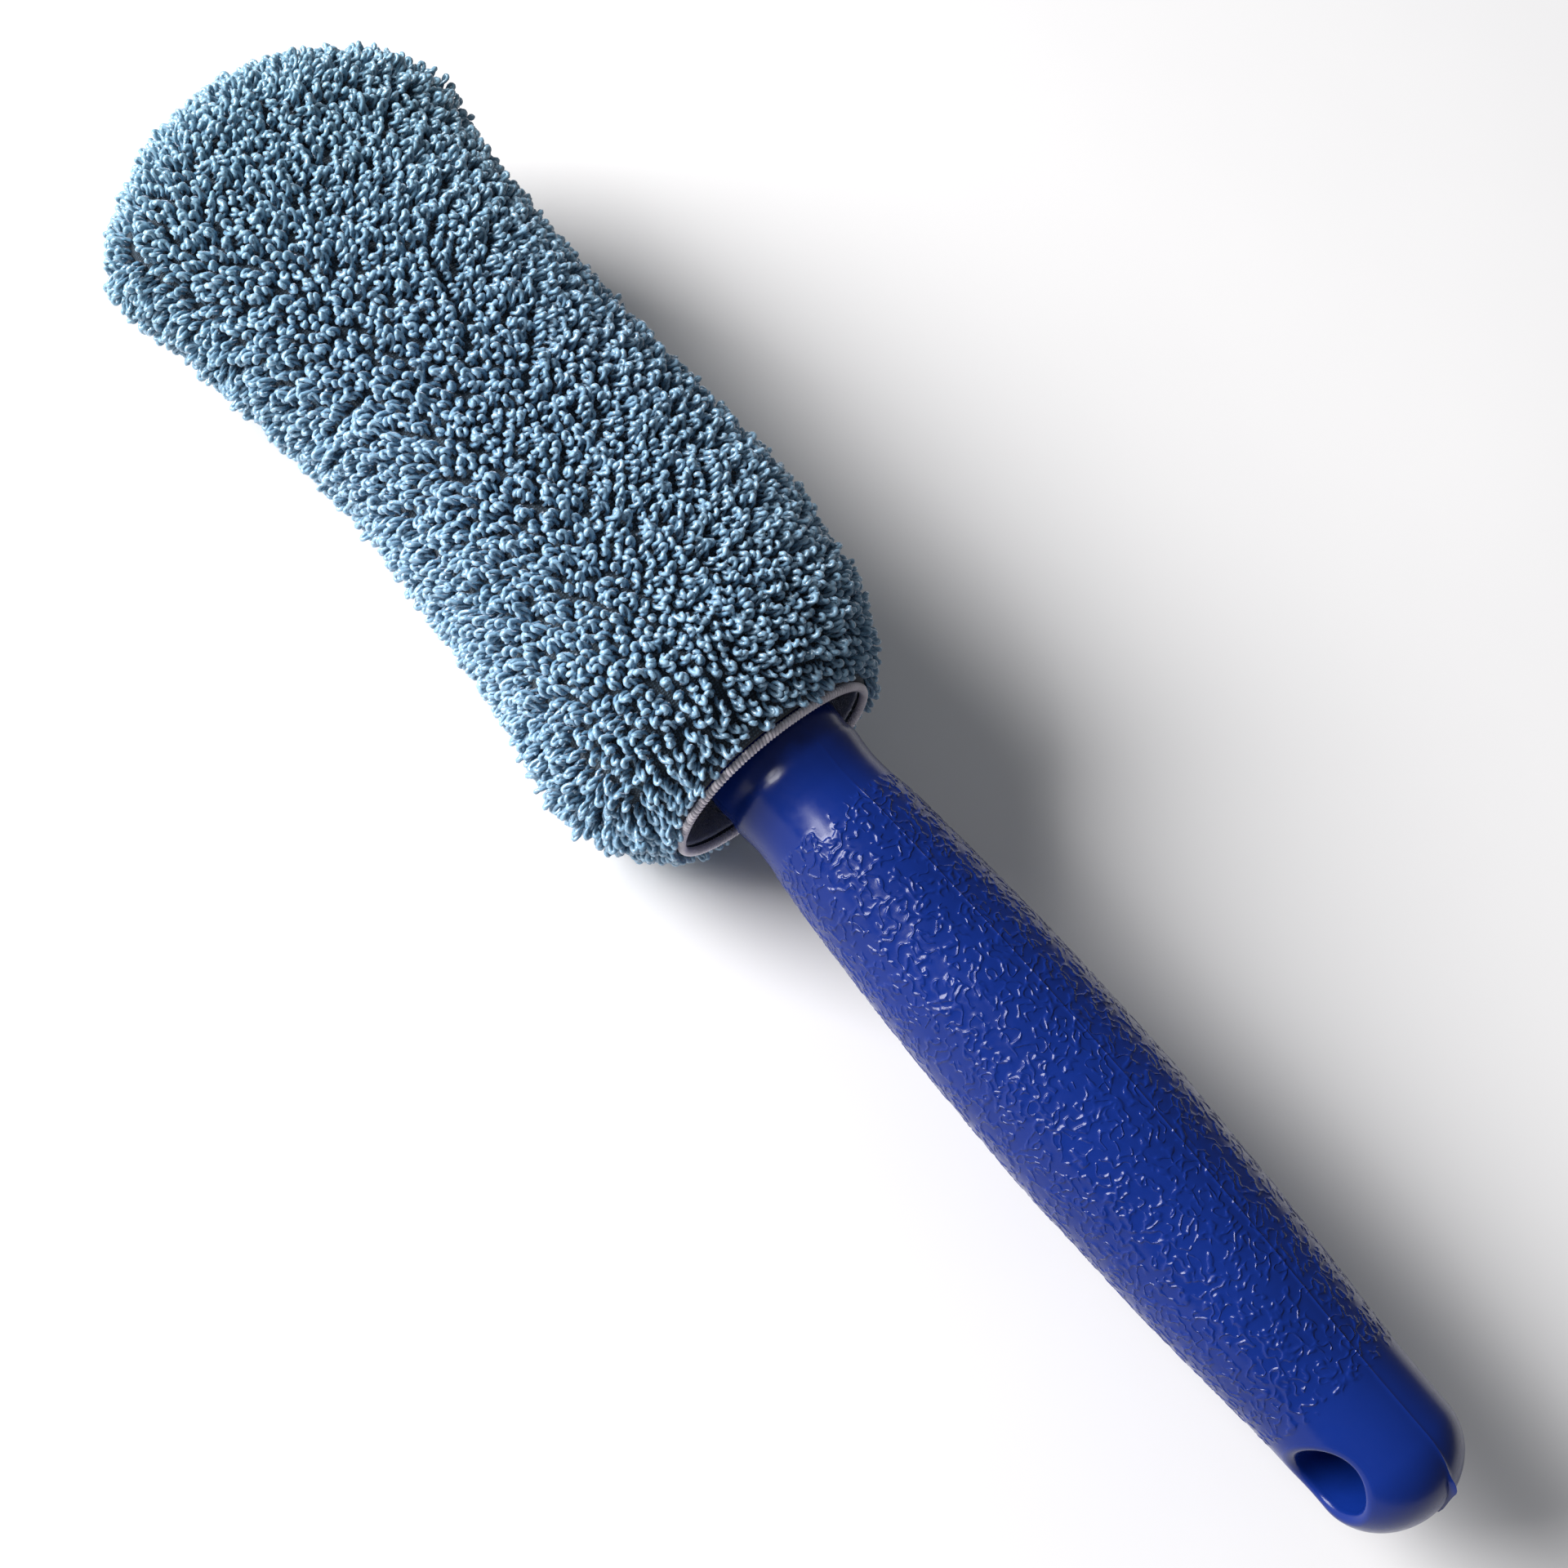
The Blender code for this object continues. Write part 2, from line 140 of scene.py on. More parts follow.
def mesh_from(name, points, quads=None, tris=None, flat=False):
    """A mesh from arrays of points in millimetres and of quads and triangles."""
    mesh = bpy.data.meshes.new(name)
    faces = [f for f in (quads, tris) if f is not None and len(f)]
    counts = np.concatenate([np.full(len(f), f.shape[1]) for f in faces])
    corners = np.concatenate([f.reshape(-1) for f in faces]).astype(np.int32)
    mesh.vertices.add(len(points))
    mesh.vertices.foreach_set("co", (np.asarray(points) * MM).astype(np.float32).reshape(-1))
    mesh.loops.add(len(corners))
    mesh.loops.foreach_set("vertex_index", corners)
    mesh.polygons.add(len(counts))
    mesh.polygons.foreach_set("loop_start", np.concatenate([[0], np.cumsum(counts)[:-1]]).astype(np.int32))
    mesh.update(calc_edges=True)
    mesh.validate()
    mesh.polygons.foreach_set("use_smooth", np.full(len(mesh.polygons), not flat))
    return mesh


def new_piece(name, mesh, mat, body, slot, *nodes):
    o = bpy.data.objects.new(name, mesh)
    made.objects.link(o)
    o.data.materials.clear()
    o.data.materials.append(mat)
    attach(o, body)
    if nodes:
        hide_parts(*nodes)
    return o


def set_attribute(mesh, name, kind, values):
    att = mesh.attributes.new(name, kind, "POINT")
    att.data.foreach_set("vector" if kind == "FLOAT_VECTOR" else "value", np.asarray(values, np.float32).reshape(-1))


def grid_quads(rows, cols, first=0, closed=True):
    i = np.arange(rows - 1)[:, None]
    j = np.arange(cols if closed else cols - 1)[None, :]
    k = (j + 1) % cols
    return (np.stack([i * cols + j, i * cols + k, (i + 1) * cols + k, (i + 1) * cols + j], -1).reshape(-1, 4) + first)


# ---- node helpers -------------------------------------------------------------------------
class Nodes:
    def __init__(self, name):
        self.mat = bpy.data.materials.new(name)
        self.mat.use_nodes = True
        self.tree = self.mat.node_tree
        self.bsdf = self.tree.nodes["Principled BSDF"]

    def new(self, kind, **values):
        node = self.tree.nodes.new(kind)
        for k, v in values.items():
            if hasattr(node, k):
                setattr(node, k, v)
            else:
                node.inputs[k.replace("_", " ")].default_value = v
        return node

    def link(self, a, b):
        self.tree.links.new(a, b)

    def set(self, **values):
        for k, v in values.items():
            self.bsdf.inputs[k.replace("_", " ")].default_value = v
        return self

    def noise(self, coords, scale, detail=2.0, rough=0.5, distortion=0.0):
        n = self.new("ShaderNodeTexNoise")
        n.inputs["Scale"].default_value = scale
        n.inputs["Detail"].default_value = detail
        n.inputs["Roughness"].default_value = rough
        n.inputs["Distortion"].default_value = distortion
        self.link(coords, n.inputs["Vector"])
        return n.outputs["Fac"]

    def ramp(self, value, stops, mode="LINEAR"):
        r = self.new("ShaderNodeValToRGB")
        r.color_ramp.interpolation = mode
        while len(r.color_ramp.elements) < len(stops):
            r.color_ramp.elements.new(0.5)
        for e, (p, c) in zip(r.color_ramp.elements, stops):
            e.position = p
            e.color = (*c, 1.0) if hasattr(c, "__len__") else (c, c, c, 1.0)
        self.link(value, r.inputs["Fac"])
        return r.outputs["Color"]

    def math(self, op, a, b=None, c=None, clamp=False):
        m = self.new("ShaderNodeMath", operation=op, use_clamp=clamp)
        for i, v in enumerate((a, b, c)):
            if v is None:
                continue
            if hasattr(v, "is_linked"):
                self.link(v, m.inputs[i])
            else:
                m.inputs[i].default_value = v
        return m.outputs[0]

    def map(self, value, a, b, c=0.0, d=1.0, smoothstep=False):
        m = self.new("ShaderNodeMapRange")
        m.interpolation_type = "SMOOTHSTEP" if smoothstep else "LINEAR"
        for k, v in zip(("From Min", "From Max", "To Min", "To Max"), (a, b, c, d)):
            m.inputs[k].default_value = v
        self.link(value, m.inputs["Value"])
        return m.outputs["Result"]

    def mix(self, fac, a, b, blend="MIX"):
        m = self.new("ShaderNodeMix", data_type="RGBA", blend_type=blend)
        for socket, v in ((m.inputs["Factor"], fac), (m.inputs[6], a), (m.inputs[7], b)):
            if hasattr(v, "is_linked"):
                self.link(v, socket)
            else:
                socket.default_value = (*v, 1.0) if hasattr(v, "__len__") else v
        return m.outputs[2]

    def bump(self, height, strength, distance, normal=None):
        b = self.new("ShaderNodeBump")
        b.inputs["Strength"].default_value = strength
        b.inputs["Distance"].default_value = distance
        self.link(height, b.inputs["Height"])
        if normal is not None:
            self.link(normal, b.inputs["Normal"])
        return b.outputs["Normal"]

    def attribute(self, name):
        a = self.new("ShaderNodeAttribute")
        a.attribute_name = name
        return a


# ---- camera, floor and lights -------------------------------------------------------------
def build_camera():
    """The view: 58 degrees over the brush's axis, a little towards the grip, turned so that the brush runs from the upper left to the lower right."""
    rise, lead, distance, mm_per_px = radians(58.0), radians(9.5), 550.0, 0.1638
    back = Vector((sin(lead), -cos(rise) * cos(lead), sin(rise) * cos(lead)))
    along = Vector((cos(lead), sin(lead) * cos(rise), -sin(lead) * sin(rise)))
    across = Vector((0.0, -sin(rise), -cos(rise)))
    turn = radians(48.88)
    right = along * cos(turn) - across * sin(turn)
    up = -along * sin(turn) - across * cos(turn)
    aim = Vector((2.63, 0.0, AXIS_Z)) + across * 14.0 * mm_per_px
    data = bpy.data.cameras.new("camera")
    data.sensor_width = 36.0
    data.lens = distance / mm_per_px / 1920.0 * 36.0
    data.clip_start, data.clip_end = 0.02, 20.0
    cam = bpy.data.objects.new("camera", data)
    bpy.context.scene.collection.objects.link(cam)
    m = Matrix((right, up, back)).transposed().to_4x4()
    m.translation = (aim + back * distance) * MM
    cam.matrix_world = m
    bpy.context.scene.camera = cam
    return back, along, across


view_back, view_along, view_across = build_camera()


def area_light(name, place, target, size, size_y, power, colour=(1, 1, 1)):
    data = bpy.data.lights.new(name, "AREA")
    data.shape = "RECTANGLE"
    data.size, data.size_y = size, size_y
    data.energy = power
    data.color = colour
    o = bpy.data.objects.new(name, data)
    bpy.context.scene.collection.objects.link(o)
    o.location = place
    o.rotation_mode = "QUATERNION"
    o.rotation_quaternion = (Vector(target) - Vector(place)).to_track_quat("-Z", "Y")
    return o


def build_stage():
    n = Nodes("floor_paper")
    coords = n.new("ShaderNodeTexCoord").outputs["Object"]
    n.set(Roughness=0.9, Specular_IOR_Level=0.2)
    n.link(n.ramp(n.noise(coords, 6.0, 4.0), [(0.3, (0.88, 0.88, 0.885)), (0.7, (0.91, 0.91, 0.912))]),
           n.bsdf.inputs["Base Color"])
    bm = bmesh.new()
    bmesh.ops.create_grid(bm, x_segments=8, y_segments=8, size=4.0)
    mesh = bpy.data.meshes.new("floor")
    bm.to_mesh(mesh)
    bm.free()
    floor = bpy.data.objects.new("floor", mesh)
    floor.location = (0, 0, -0.0004)
    bpy.context.scene.collection.objects.link(floor)
    mesh.materials.append(n.mat)
    world = bpy.data.worlds.new("studio")
    world.use_nodes = True
    sky = world.node_tree.nodes["Background"]
    sky.inputs["Color"].default_value = (0.93, 0.95, 1.0, 1.0)
    sky.inputs["Strength"].default_value = 0.18
    bpy.context.scene.world = world
    # the key: a wide window at the near side, low, and well towards the head
    area_light("key", (-1.80, -1.80, 1.32), (0.0, 0.0, 0.02), 1.8, 1.4, 200.0, (1.0, 0.985, 0.98))


build_stage()
bpy.context.scene.view_settings.view_transform = "Standard"


# ---- handle: grain noise evaluated once for the geometry and again by the shader -----------
GRAIN_SCALE, GRAIN_DISTORTION = 0.50, 0.35  # per millimetre
BREAK_SCALE, BREAK_LOW, BREAK_HIGH = 0.40, 0.33, 0.46  # where the worms of the grain break off
GRAIN_HALF, GRAIN_HEIGHT = 0.125, 0.17



def noise_values(points, scale, detail=0.0, distortion=0.0):
    """The shader's own noise at points, through a geometry node tree."""
    mesh = bpy.data.meshes.new("probe")
    mesh.vertices.add(len(points))
    mesh.vertices.foreach_set("co", np.asarray(points, np.float32).reshape(-1))
    o = bpy.data.objects.new("probe", mesh)
    bpy.context.scene.collection.objects.link(o)
    tree = bpy.data.node_groups.new("probe", "GeometryNodeTree")
    tree.interface.new_socket("Geometry", in_out="INPUT", socket_type="NodeSocketGeometry")
    tree.interface.new_socket("Geometry", in_out="OUTPUT", socket_type="NodeSocketGeometry")
    gin, gout = tree.nodes.new("NodeGroupInput"), tree.nodes.new("NodeGroupOutput")
    tex = tree.nodes.new("ShaderNodeTexNoise")
    tex.inputs["Scale"].default_value = scale
    tex.inputs["Detail"].default_value = detail
    tex.inputs["Distortion"].default_value = distortion
    pos = tree.nodes.new("GeometryNodeInputPosition")
    store = tree.nodes.new("GeometryNodeStoreNamedAttribute")
    store.inputs["Name"].default_value = "found"
    tree.links.new(pos.outputs[0], tex.inputs["Vector"])
    tree.links.new(gin.outputs[0], store.inputs["Geometry"])
    tree.links.new(tex.outputs["Fac"], store.inputs["Value"])
    tree.links.new(store.outputs["Geometry"], gout.inputs[0])
    mod = o.modifiers.new("probe", "NODES")
    mod.node_group = tree
    done = o.evaluated_get(bpy.context.evaluated_depsgraph_get()).data
    out = np.empty(len(points), np.float32)
    done.attributes["found"].data.foreach_get("value", out)
    bpy.data.objects.remove(o)
    bpy.data.meshes.remove(mesh)
    bpy.data.node_groups.remove(tree)
    return out.astype(float)


def handle_material():
    n = Nodes("moulded_blue")
    rest = n.attribute("rest").outputs["Vector"]
    grain = n.attribute("grain").outputs["Fac"]
    broad = n.noise(rest, 0.035, 3.0, 0.6)
    n.link(n.ramp(broad, [(0.30, (0.0025, 0.0148, 0.128)), (0.72, (0.0036, 0.0190, 0.160))]), n.bsdf.inputs["Base Color"])
    off = n.math("ABSOLUTE", n.math("SUBTRACT", n.noise(rest, GRAIN_SCALE, 0.0, 0.5, GRAIN_DISTORTION), 0.5))
    shifted = n.new("ShaderNodeVectorMath", operation="ADD")
    n.link(rest, shifted.inputs[0])
    shifted.inputs[1].default_value = (90, 90, 90)
    parts = n.map(n.noise(shifted.outputs[0], BREAK_SCALE, 0.0, 0.5), BREAK_LOW, BREAK_HIGH, smoothstep=True)
    worms = n.math("MULTIPLY", n.map(off, 0.0, GRAIN_HALF, 1.0, 0.0, smoothstep=True), parts)
    fine = n.noise(rest, 5.0, 3.0, 0.6)
    height = n.math("MULTIPLY", worms, grain)
    first = n.bump(height, 1.0, 0.00014)
    n.link(n.bump(fine, 0.06, 0.0001, first), n.bsdf.inputs["Normal"])
    n.link(n.map(n.noise(rest, 0.6, 3.0), 0.3, 0.7, 0.19, 0.27), n.bsdf.inputs["Roughness"])
    n.set(Specular_IOR_Level=0.25, Coat_Weight=0.0)
    return n.mat


def build_handle():
    fine_n, coarse_n = 264, 132
    def angles(count, near):
        t = np.arange(count) * 2 * pi / count
        extra = np.array([pi / 2 - near, pi / 2 + near, 3 * pi / 2 - near, 3 * pi / 2 + near])
        return np.sort(np.concatenate([t, extra]))
    coarse, fine = angles(coarse_n, 0.017), angles(fine_n, 0.011)
    tip = CORE_TIP + CORE_CAP * (1 - np.cos(pi / 2 * np.arange(1, 9) / 8))
    rows = [(a, coarse) for a in tip]
    rows += [(a, coarse) for a in np.linspace(CORE_TIP + CORE_CAP, 150, 12)[1:]]
    rows += [(a, coarse) for a in np.linspace(150, 183, 12)[1:]]
    rows += [(a, coarse) for a in np.linspace(183, GRAIN_FROM - 1.2, 30)[1:]]
    rows += [(a, fine) for a in np.arange(GRAIN_FROM - 0.5, GRAIN_TO + 1.0, 0.46)]
    last = rows[-1][0]
    rows += [(a, coarse) for a in np.linspace(last + 0.6, LENGTH - TAIL_CAP, 22)]
    tail = LENGTH - TAIL_CAP * (1 - np.cos(pi / 2 * np.arange(25, 0, -1) / 26))
    rows += [(a, coarse) for a in tail]
    points, grain, first, normals = [], [], [], []
    count = 0
    for a, t in rows:
        hy, hz = handle_half(a)
        first.append(count)
        count += len(t)
        points.append(np.stack([np.full(len(t), a - LENGTH / 2), hy * np.cos(t), hz * np.sin(t) + AXIS_Z], -1))
        slope_y = (handle_half(a + 0.05)[0] - handle_half(a - 0.05)[0]) / 0.1
        nx = np.full(len(t), -slope_y)
        nrm = np.stack([nx, np.cos(t) * hz, np.sin(t) * hy], -1)
        nrm[:, 1:] /= np.maximum(np.linalg.norm(nrm[:, 1:], axis=1, keepdims=True), 1e-9)
        nrm /= np.linalg.norm(nrm, axis=1, keepdims=True)
        normals.append(nrm)
        g = float(ease((a - GRAIN_FROM) / 1.2) * ease((GRAIN_TO - a) / 1.2))
        grain.append(np.full(len(t), g))
    rest = np.concatenate(points)
    nrm = np.concatenate(normals)
    grain = np.concatenate(grain)
    a_all = np.concatenate([np.full(len(t), a) for a, t in rows])
    t_all = np.concatenate([t for _, t in rows])
    # raised grain
    bumps = ease(1 - np.abs(noise_values(rest, GRAIN_SCALE, 0.0, GRAIN_DISTORTION) - 0.5) / GRAIN_HALF)
    bumps = bumps * ease((noise_values(rest + 90, BREAK_SCALE) - BREAK_LOW) / (BREAK_HIGH - BREAK_LOW))
    lift = GRAIN_HEIGHT * bumps * grain
    # the mould's parting line along the top and the underside
    off = np.minimum(np.abs(t_all - pi / 2), np.abs(t_all - 3 * pi / 2))
    wobble = noise_values(rest + 50, 0.9, 2.0)
    seam = np.where(off < 1e-4, 1.0, np.where(off < 0.02, 0.25, 0.0)) * np.where(a_all < 204, 0.4 * (a_all > 175), 1.0)
    lift = lift * (1 - 0.6 * seam) + seam * (0.10 + 0.16 * wobble) * np.where(grain > 0.5, 1.25, 0.85)
    # the pinch-off at the tail: a torn fin on the parting line, strongest just above the end
    arc = np.where(a_all > LENGTH - TAIL_CAP, LENGTH - a_all, 99.0)
    top = np.where(t_all < pi, 1.0, 0.35)
    fin = np.where(off < 1e-4, 1.0, np.where(off < 0.02, 0.8, 0.0))
    near_end = np.exp(-((arc - 3.1) / 1.3) ** 2) * 1.25 * top + np.exp(-(arc / 4.0) ** 2) * 0.22
    lift += fin * near_end * (0.75 + 0.5 * wobble)
    moved = rest + nrm * lift[:, None]
    quads, tris = [], []
    for i in range(len(rows) - 1):
        one, two = rows[i][1], rows[i + 1][1]
        p, q = first[i], first[i + 1]
        if len(one) == len(two):
            j = np.arange(len(one))
            k = (j + 1) % len(one)
            quads.append(np.stack([p + j, p + k, q + k, q + j], -1))
            continue
        # stitch rings of unlike counts by angle
        u, w = 0, 0
        n1, n2 = len(one), len(two)
        while u < n1 or w < n2:
            nu = one[u + 1] if u + 1 < n1 else 2 * pi + one[0]
            nw = two[w + 1] if w + 1 < n2 else 2 * pi + two[0]
            if w >= n2 or (u < n1 and nu <= nw + 1e-9):
                tris.append((p + u % n1, p + (u + 1) % n1, q + w % n2))
                u += 1
            else:
                tris.append((p + u % n1, q + (w + 1) % n2, q + w % n2))
                w += 1
    ends = np.array([[CORE_TIP - LENGTH / 2, 0, AXIS_Z], [LENGTH / 2, 0, AXIS_Z]])
    start, stop = len(moved), len(moved) + 1
    j = np.arange(len(coarse))
    k = (j + 1) % len(coarse)
    tris = [np.array(tris).reshape(-1, 3), np.stack([np.full(len(j), start), first[0] + k, first[0] + j], -1),
            np.stack([np.full(len(j), stop), first[-1] + j, first[-1] + k], -1)]
    pts = np.concatenate([moved, ends])
    mesh = mesh_from("handle", pts, np.concatenate(quads)[:, ::-1], np.concatenate(tris)[:, ::-1])
    set_attribute(mesh, "rest", "FLOAT_VECTOR", np.concatenate([rest, ends]))
    set_attribute(mesh, "grain", "FLOAT", np.concatenate([grain, [0, 0]]))
    return mesh


def hole_cutter():
    """The hanging hole with its draft and its rolled lips, which follow the tail's round surface."""
    around, mouth, middle, lip = 128, 7.6, 6.5, 2.4
    f = np.arange(around) * 2 * pi / around
    def surface(rho):
        x = HOLE_A + rho * np.cos(f)
        r = handle_half(np.minimum(x, LENGTH - 0.3))[1]
        return np.sqrt(np.maximum(r**2 - (rho * np.sin(f)) ** 2, 4.0))
    half = []
    for s in (0.0, 0.35, 0.7, 0.93):
        rho = middle + (mouth - middle) * s
        half.append((rho, (surface(mouth) - lip) * s))
    for deg in (0, 12, 24, 36, 48, 60, 70, 78, 84):
        q = radians(deg)
        rho = mouth + lip * (1 - cos(q))
        half.append((rho, surface(rho) - lip * (1 - sin(q))))
    rho = half[-1][0] + 1.4 * sin(q)
    half.append((rho, surface(rho) + 0.10))
    half.append((rho, surface(rho) + 0.8))
    half.append((rho, np.full(around, 24.0)))
    rings = [(r, -y) for r, y in reversed(half)] + half[1:]
    pts = np.concatenate([np.stack([HOLE_A - LENGTH / 2 + r * np.cos(f), y * np.ones(around),
                                    AXIS_Z + r * np.sin(f)], -1) for r, y in rings])
    n = len(rings)
    quads = grid_quads(n, around)
    ends = np.array([[HOLE_A - LENGTH / 2, -24.0, AXIS_Z], [HOLE_A - LENGTH / 2, 24.0, AXIS_Z]])
    j = np.arange(around)
    k = (j + 1) % around
    tris = np.concatenate([np.stack([np.full(around, n * around), k, j], -1),
                           np.stack([np.full(around, n * around + 1), (n - 1) * around + j, (n - 1) * around + k], -1)])
    mesh = mesh_from("hole", np.concatenate([pts, ends]), quads, tris)
    bm = bmesh.new()
    bm.from_mesh(mesh)
    bmesh.ops.recalc_face_normals(bm, faces=bm.faces)
    bm.to_mesh(mesh)
    bm.free()
    return mesh


def make_handle():
    mesh = build_handle()
    body = bpy.data.objects.new("handle_raw", mesh)
    tool = bpy.data.objects.new("hole_tool", hole_cutter())
    for o in (body, tool):
        bpy.context.scene.collection.objects.link(o)
    bm = bmesh.new()
    bm.from_mesh(mesh)
    bmesh.ops.recalc_face_normals(bm, faces=bm.faces)
    bm.to_mesh(mesh)
    bm.free()
    m = body.modifiers.new("hole", "BOOLEAN")
    m.operation, m.solver, m.object = "DIFFERENCE", "EXACT", tool
    done = bpy.data.meshes.new_from_object(body.evaluated_get(bpy.context.evaluated_depsgraph_get()))
    done.name = "handle_visual"
    for o in (body, tool):
        bpy.data.objects.remove(o)
    done.shade_smooth()
    done.set_sharp_from_angle(angle=radians(42))
    return new_piece("handle_moulding", done, handle_material(), "handle", "blue_plastic", "handle_body")


handle = make_handle()


# ---- sleeve: knitted backing ----------------------------------------------------------------
def knit_material(name, dark, light, gap_colour, scale=1.0):
    n = Nodes(name)
    uv = n.attribute("cloth").outputs["Vector"]
    wales = n.new("ShaderNodeTexWave", wave_type="BANDS", bands_direction="X")
    courses = n.new("ShaderNodeTexWave", wave_type="BANDS", bands_direction="Y")
    for w, s in ((wales, 0.42), (courses, 0.55)):
        w.inputs["Scale"].default_value = s * scale
        w.inputs["Distortion"].default_value = 0.6
        w.inputs["Detail"].default_value = 1.0
        n.link(uv, w.inputs["Vector"])
    cell = n.math("MULTIPLY", wales.outputs["Fac"], courses.outputs["Fac"])
    tone = n.noise(uv, 0.12, 3.0)
    n.link(n.mix(n.ramp(cell, [(0.1, 0.0), (0.6, 1.0)]), gap_colour, n.ramp(tone, [(0.3, dark), (0.7, light)])),
           n.bsdf.inputs["Base Color"])
    n.link(n.bump(cell, 0.6, 0.0004), n.bsdf.inputs["Normal"])
    n.link(n.map(tone, 0.3, 0.7, 0.82, 0.95), n.bsdf.inputs["Roughness"])
    n.set(Sheen_Weight=0.15, Sheen_Roughness=0.6)
    return n.mat


def section_angles(count, start, stop):
    return np.linspace(start, stop, count)


def seam_param(a, side, offset, inset=0.0):
    """Section angle at which the backing's surface stands offset millimetres above the seam plane, on side -1 or +1."""
    hy, hz = back_half(a, inset)
    sy, sz = sway(a)
    lo = np.full(np.shape(a), 0.0) + (pi / 2 if side < 0 else -pi / 2)
    hi = np.full(np.shape(a), 0.0) + (3 * pi / 2 if side < 0 else pi / 2)
    def height(t):
        c, s = np.cos(t), np.sin(t)
        y = sy + hy * np.sign(c) * np.abs(c) ** (2 / SQUARE)
        z = sz + hz * np.sign(s) * np.abs(s) ** (2 / SQUARE)
        return z * cos(SEAM_TILT) + y * sin(SEAM_TILT)
    for _ in range(40):
        mid = (lo + hi) / 2
        above = height(mid) > offset
        if side < 0:
            lo, hi = np.where(above, mid, lo), np.where(above, hi, mid)
        else:
            lo, hi = np.where(above, lo, mid), np.where(above, mid, hi)
    return (lo + hi) / 2


def panel(name, upper):
    """One panel of the backing: a thin shell between the two seam edges, from the far tip to the mouth."""
    sign = 1 if upper else -1
    stations = np.concatenate([BACK_TIP + BACK_CAP * (1 - np.cos(pi / 2 * np.arange(1, 17) / 16)) + 0.0,
                               np.linspace(BACK_TIP + BACK_CAP, BACK_END, 90)[1:]])
    stations = stations[back_half(stations)[1] > 1.6]
    cols = 90
    sheets, cloth = [], []
    for inset in (0.0, BACKING):
        rows = []
        for a in stations:
            a_in = a if inset == 0 else max(a, BACK_TIP + inset + 0.9)
            if upper:
                t0, t1 = seam_param(a_in, 1, 0.6, inset), seam_param(a_in, -1, 0.6, inset)
            else:
                t0, t1 = seam_param(a_in, -1, -0.6, inset), seam_param(a_in, 1, -0.6, inset) + 2 * pi
            t = np.linspace(float(t0), float(t1), cols)
            rows.append(head_point(np.full(cols, a_in), t, inset))
            if inset == 0:
                d = np.concatenate([[0], np.cumsum(np.linalg.norm(np.diff(rows[-1], axis=0), axis=1))])
                cloth.append(np.stack([d - d[-1] / 2, np.full(cols, a), np.zeros(cols)], -1))
        sheets.append(np.concatenate(rows))
    n, cloth = len(stations), np.concatenate(cloth)
    outer, inner = grid_quads(n, cols, 0, False), grid_quads(n, cols, n * cols, False)[:, ::-1]
    i = np.arange(n - 1)
    j = np.arange(cols - 1)
    base = n * cols
    left = np.stack([i * cols, (i + 1) * cols, base + (i + 1) * cols, base + i * cols], -1)
    right = np.stack([(i + 1) * cols + cols - 1, i * cols + cols - 1, base + i * cols + cols - 1,
                      base + (i + 1) * cols + cols - 1], -1)
    mouth = np.stack([(n - 1) * cols + j, (n - 1) * cols + j + 1, base + (n - 1) * cols + j + 1, base + (n - 1) * cols + j], -1)
    tip = np.stack([j + 1, j, base + j, base + j + 1], -1)
    mesh = mesh_from(name, np.concatenate(sheets), np.concatenate([outer, inner, left, right, mouth, tip]))
    bm = bmesh.new()
    bm.from_mesh(mesh)
    bmesh.ops.recalc_face_normals(bm, faces=bm.faces)
    bm.to_mesh(mesh)
    bm.free()
    set_attribute(mesh, "cloth", "FLOAT_VECTOR", np.concatenate([cloth, cloth]))
    return mesh


dark_knit = knit_material("dark_knit", (0.022, 0.050, 0.080), (0.040, 0.085, 0.125), (0.010, 0.020, 0.032))
knit_upper = new_piece("knit_upper", panel("knit_upper", True), dark_knit, "sleeve", "dark_knit", "backing_upper")
knit_lower = new_piece("knit_lower", panel("knit_lower", False), dark_knit, "sleeve", "dark_knit", "backing_lower")


# ---- sleeve: the pile of twisted loops --------------------------------------------------------
ROW_STEP, LOOP_STEP, ROW_SLANT = 1.64, 2.66, 0.16
PILE_STOP = 186.5
TUBE_SIDES = 5
LEG = (0.0, 0.22, 0.42, 0.57, 0.70, 0.80, 0.885)  # rings up each leg, in parts of the loop's length
TURN = tuple(radians(d) for d in (35, 70, 110, 145))  # rings over the top


